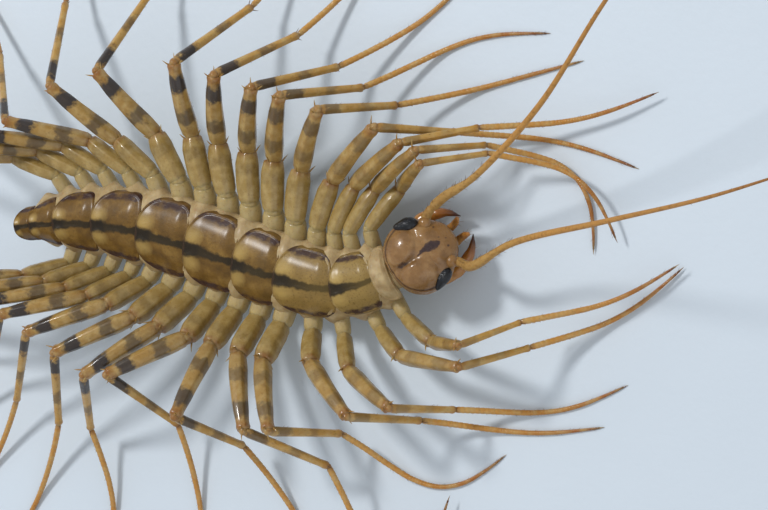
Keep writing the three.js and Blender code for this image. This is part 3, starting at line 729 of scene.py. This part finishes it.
# Legs: lengths and pose as in the solids, girth as in life
leg = {
    "hipLength": 4.0, "coxaLength": 0.95, "rootHeight": -0.65, "coxaRise": 0.5, "coxaLean": 0.7,
    "gap": 0.42, "ankleHeight": 2.2,
    "footSteps": 7, "touchDown": 0.5, "solidFoot": (0.25, 0.12),
    "hipGirth": [[1, 0.68], [3, 0.72], [5, 1], [10, 1], [12, 0.74]],  # both by pair
    "girth": [[1, 0.74], [3, 0.9], [5, 1], [10, 1], [13, 0.84]],
    "coxa": [[0, 0.6], [0.35, 0.68], [0.8, 0.65], [0.95, 0.58], [1, 0.48]],
    "prefemur": [[0, 0.5], [0.08, 0.6], [0.3, 0.66], [0.75, 0.67], [0.93, 0.58], [0.98, 0.53],
                 [1, 0.4]],
    "femur": [[0, 0.38], [0.05, 0.49], [0.2, 0.54], [0.7, 0.45], [0.9, 0.37], [0.955, 0.4],
              [0.985, 0.37], [1, 0.2]],
    "tibia": [[0, 0.15], [0.03, 0.25], [0.08, 0.29], [0.2, 0.27], [0.6, 0.24], [0.92, 0.215],
              [0.965, 0.25], [0.99, 0.22], [1, 0.13]],
    "foot": [[0, 0.14], [0.01, 0.19], [0.4, 0.17], [0.42, 0.16], [0.7, 0.135], [0.95, 0.08],
             [1, 0.055]],
    "footHalf": 0.42, "rings": (14, 34),  # where the foot's two lengths meet, and their fewest rings
    "arch": 0.035,  # rise of the middle of a thigh article, as a share of its length
    "claw": 0.3, "hairs": 14, "footHairs": 26,
    "crowded": 11, "crowdedSpur": 0.55,  # the last pairs lie close together, with shorter spurs
}
# Spurs round the far end of an article: angles, how far out, length, thickness and finish
spurs = {
    "prefemur": ((0.5, 2.6, 4.7), 0.52, 0.62, 0.07, 0),
    "femur": ((0.7, 2.4, 4.4), 0.37, 0.52, 0.06, 0),
    "tibia": ((0.6, 3.9), 0.21, 0.42, 0.035, 1),
}
# Degrees outwards of straight ahead for hip, thigh, shin, foot and toe, then how high the foot is
# held, and how much higher than its neighbours the knee is
pose = {
    "right": [
        (30, 1, -28, -12, -32, 1.9, 0.5), (34, 6, -20, -19, -40, 0.3, -0.6),
        (54, 26, 6, 3, -24, 0, 0.2), (56, 38, 8, 8, -8, 0, 0), (88, 62, 9, 38, -36, 0, 0.4),
        (90, 68, 30, 70, -70, 1.5, -0.3), (98, 96, 54, 59, 64, 0, 0.7),
        (102, 150, 60, 86, 96, 0, 0.3), (116, 142, 128, 84, 170, 0, 0),
        (122, 154, 120, 122, 128, 0, -0.4), (136, 160, 130, 128, 146, 0, -0.4),
        (143, 166, 140, 138, 150, 0, 0), (149, 169, 152, 148, 160, 0, 0),
        (154, 173, 162, 158, 169, 0, 0), (159, 177, 174, 170, 176, 0, 0)],
    "left": [
        (50, 25, 12, -12, -68, 1.7, 0.5), (55, 28, 7, -15, -90, 0.2, 0),
        (60, 30, 13, 3, 20, 1.4, -0.4), (64, 38, -4, -5, -21, 0, -0.5),
        (77, 50, 8, 12, 12, 0, 0.4), (84, 58, 12, 27, -2, 0, 0.5),
        (88, 58, 24, 30, 46, 0, 0.5), (96, 66, 42, 47, 54, 0, 0.5),
        (100, 80, 56, 56, 62, 0, 0.5), (116, 124, 80, 74, 84, 0, 0.2),
        (138, 136, 108, 98, 106, 0, 0), (143, 165, 130, 124, 132, 0, 0),
        (149, 171, 145, 140, 148, 0, 0), (154, 175, 158, 154, 162, 0, 0),
        (158, 177, 173, 169, 178, 0, 0)],
}

def thighLength(pair):
    return 4.2 if pair < 2 else 5.0 + 0.03 * pair

def shinLength(pair):
    return 3.7 + 0.3 * pair + (3 if pair == legPairs else 0)

def footLength(pair):
    return 9.2 + 0.5 * pair + (9 if pair == legPairs else 0)

def kneeHeight(pair, side):
    return (5.3 + 1.5 * math.sin(math.pi * pair / (legPairs + 1)) - (0.3 if side > 0 else 0)
            + 0.5 * max(0, pair - 11))

def hipHeight(pair, side):
    return (3.9 if side > 0 else 4.3) - 0.3 * max(0, 4 - pair)

def solidFootRadius(share):
    root, tip = leg["solidFoot"]
    return root + (tip - root) * share ** 2

def stepTo(start, side, heading, length, height):
    level = math.sqrt(max(length ** 2 - (height - start[2]) ** 2, 0.01))
    cos, sin = turned(side * heading)
    return np.array((start[0] + level * cos, start[1] + level * sin, height))

def legJoints(word, side, pair):
    hip, thigh, shin, foot, toe, lift, rise = pose[word][pair - 1]
    behind = legPlace(pair)
    flank = along(body["halfWidth"], behind) - body["inset"]
    root = bodyPoint(behind, side * (flank - 0.4), leg["rootHeight"] - 0.1)
    coxa = bodyPoint(behind - leg["coxaLean"] * turned(hip)[0],
                     side * (flank + leg["gap"] + leg["coxaLength"]),
                     leg["rootHeight"] + leg["coxaRise"])
    hipEnd = stepTo(coxa, side, hip, leg["hipLength"] - leg["coxaLength"], hipHeight(pair, side))
    knee = stepTo(hipEnd, side, thigh, thighLength(pair), kneeHeight(pair, side) + rise)
    ankle = stepTo(knee, side, shin, shinLength(pair), leg["ankleHeight"] + lift * 0.5)
    line, last = [ankle], ankle
    for k in range(1, leg["footSteps"] + 1):
        share = k / leg["footSteps"]
        drop = max(0, 1 - share / leg["touchDown"]) ** 1.6
        resting = solidFootRadius(share) * 0.8 + lift * (1 - 0.6 * share)
        heading = foot + (toe - foot) * ease(share, 0.3, 1)
        last = stepTo(last, side, heading, footLength(pair) / leg["footSteps"],
                      resting + drop * (ankle[2] - resting))
        line.append(last)
    # The thinner foot of the finished leg lies as low as the solid one
    for k in range(1, len(line)):
        share = k / leg["footSteps"]
        thinner = max(0, solidFootRadius(share) * 0.8 - along(leg["foot"], share) * 0.9)
        line[k] = line[k] - up * thinner * ease(share, 0.2, 0.6)
    return root, coxa, hipEnd, knee, ankle, line

def makeLeg(word, side, pair):
    root, coxa, hip, knee, ankle, foot = legJoints(word, side, pair)
    girth = along(leg["girth"], pair)
    banding = 0.3 + 0.65 * ease(pair, 2, 9)
    shape = newShape()
    articles = (("coxa", root, coxa, 8, 0.04), ("prefemur", coxa, hip, 22, 0.11),
                ("femur", hip, knee, 30, 0.12), ("tibia", knee, ankle, 30, 0.1))
    for number, (name, start, end, rows, keel) in enumerate(articles):
        shares = (1 - np.cos(np.linspace(0, np.pi, rows))) / 2
        axis = unit(end - start)
        arch = leg["arch"] * np.linalg.norm(end - start) if name in ("prefemur", "femur") else 0
        centres = [start + (end - start) * s + up * arch * math.sin(math.pi * s) for s in shares]
        thick = along(leg["hipGirth"], pair) if number < 2 else girth
        addTube(shape, centres, [along(leg[name], s) * thick for s in shares],
                [(number + s, banding, 0) for s in shares], 30, keel)
        if name in spurs:
            angles, out, spurLength, spurRadius, spurFinish = spurs[name]
            across = unit(np.cross(axis, up))
            other = np.cross(across, axis)
            for angle in angles:
                angle += 0.2 * pair
                aim = across * math.cos(angle) + other * math.sin(angle)
                base = end - axis * 0.12 + aim * out * thick * 0.85
                long = spurLength * random.uniform(0.85, 1.15)
                long *= leg["crowdedSpur"] if pair >= leg["crowded"] else 1
                addSpine(shape, base, base + (axis * 0.75 + aim * 0.6) * long, spurRadius,
                         (number + 0.9, 0, 0), finish=spurFinish)
            for _ in range(leg["hairs"]):
                share = random.uniform(0.15, 0.95)
                spot = start + (end - start) * share + up * arch * math.sin(math.pi * share)
                angle = random.uniform(0, 2 * math.pi)
                aim = across * math.cos(angle) + other * math.sin(angle)
                radius = along(leg[name], share) * thick
                tip = spot + aim * (radius + 0.1) + axis * 0.16
                addHair(shape, spot + aim * radius * 0.85, tip, "leg")
    joints = ((coxa, 0.53, 1.0), (hip, 0.44, 2.0), (knee, 0.28, 3.0), (ankle, 0.17, 4.0))
    for spot, size, place in joints:
        thick = along(leg["hipGirth"], pair) if place < 3 else girth
        addBall(shape, spot, (size * thick,) * 3, (place, banding * 0.3, 0))
    line = smoothLine(foot, 24)
    reach = line[0][-1]
    places, radii, marks = [], [], []
    for part, (start, end) in enumerate(((0, leg["footHalf"]), (leg["footHalf"], 1))):
        count = leg["rings"][part] + pair // 3
        for number in range(count):
            for share, swell in ((0.0, 0.9), (0.14, 1.0), (0.86, 1.05)):
                place = start + (end - start) * (number + share) / count
                places.append(place * reach)
                radii.append(along(leg["foot"], place) * swell * (0.85 + 0.15 * girth))
                marks.append((4 + part + (number + share) / count, banding, 0))
    places = np.array(places) * (1 - leg["claw"] / reach)
    addTube(shape, lineAt(line, places), radii, marks, 9)
    tip, before = line[1][-1], line[1][-6]
    ahead = unit(tip - before)
    clawTip = tip - up * max(0, min(0.04, tip[2] - 0.03))
    addSpine(shape, tip - ahead * 0.4, clawTip, 0.045, (5.98, 0, 0))
    for _ in range(leg["footHairs"]):
        share = random.uniform(0.05, 0.97)
        spot = lineAt(line, share * reach)
        ahead = unit(lineAt(line, share * reach + 0.15) - lineAt(line, share * reach - 0.15))
        aim = unit(np.cross(ahead, up)) * random.choice((-1, 1)) + up * random.uniform(-0.2, 0.8)
        size = along(leg["foot"], share)
        tip = spot + aim * (size + 0.07) + ahead * 0.15
        addHair(shape, spot + aim * size * 0.7, tip, "foot")
    makePiece(f"leg_{word}_{pair:02d}_shell", shape, [finishes["leg"], finishes["hair"]], "leg",
              f"leg_{word}_{pair:02d}")

for word, side in sides.items():
    for pair in range(1, legPairs + 1):
        makeLeg(word, side, pair)
print("legs made")


# Floor, light and camera
studio = {"floor": "#D3DDE6", "floorDark": "#CFD9E2", "floorReach": 1.5, "sky": "#E9EEF4",
          "skyStrength": 0.62, "keySize": 0.045, "keyPower": 0.42, "keyPlace": (-0.09, 0.12, 0.24),
          "fillSize": 0.3, "fillPower": 0.16, "fillPlace": (0.22, -0.18, 0.16)}
view = {"elevation": 60, "distance": 165, "pixelsPerMm": 17.2, "aim": (0.6, 0.99, 2.65),
        "sensor": 36, "frame": 768}

def makeFloor():
    mesh = bpy.data.meshes.new("floor")
    far = studio["floorReach"]
    corners = [(-far, -far, 0), (far, -far, 0), (far, far, 0), (-far, far, 0)]
    mesh.from_pydata(corners, [], [(0, 1, 2, 3)])
    finish = newFinish("pale_floor", Roughness=0.55)
    tint = ramp(finish, grain(finish, 18, 3), [(0.3, studio["floorDark"]), (0.7, studio["floor"])])
    mesh.materials.append(paint(finish, tint, 0.02, grain(finish, 0.6, 4)))
    floor = bpy.data.objects.new("floor", mesh)
    bpy.context.scene.collection.objects.link(floor)

def aimAt(thing, target):
    thing.rotation_euler = (target - thing.location).to_track_quat("-Z", "Y").to_euler()

def makeLights():
    for name in ("key", "fill"):
        lamp = bpy.data.lights.new(name, "AREA")
        lamp.size = studio[name + "Size"]
        lamp.energy = studio[name + "Power"]
        light = bpy.data.objects.new(name, lamp)
        light.location = studio[name + "Place"]
        bpy.context.scene.collection.objects.link(light)
        aimAt(light, cadCentre)
    world = bpy.data.worlds.new("studio")
    world.use_nodes = True
    backdrop = world.node_tree.nodes["Background"]
    backdrop.inputs["Color"].default_value = colour(studio["sky"])
    backdrop.inputs["Strength"].default_value = studio["skyStrength"]
    bpy.context.scene.world = world

def makeCamera():
    cos, sin = turned(view["elevation"])
    back, right = np.array((cos, 0, sin)), np.array((sin, 0, -cos))
    place = (np.array(view["aim"]) + back * view["distance"]) / 1000 + offset
    lens = bpy.data.cameras.new("camera")
    lens.sensor_width = view["sensor"]
    lens.lens = view["pixelsPerMm"] * view["distance"] * view["sensor"] / view["frame"]
    lens.clip_start = 0.005
    camera = bpy.data.objects.new("camera", lens)
    turn = np.eye(4)
    turn[:3, 0], turn[:3, 1], turn[:3, 2], turn[:3, 3] = right, (0, 1, 0), back, place
    camera.matrix_world = Matrix(turn.tolist())
    bpy.context.scene.collection.objects.link(camera)
    bpy.context.scene.camera = camera

cadCentre = Vector([(a + b) / 2 for a, b in zip(*cadBox)])
makeFloor()
makeLights()
makeCamera()
bpy.context.scene.view_settings.view_transform = "Standard"
print("studio made")
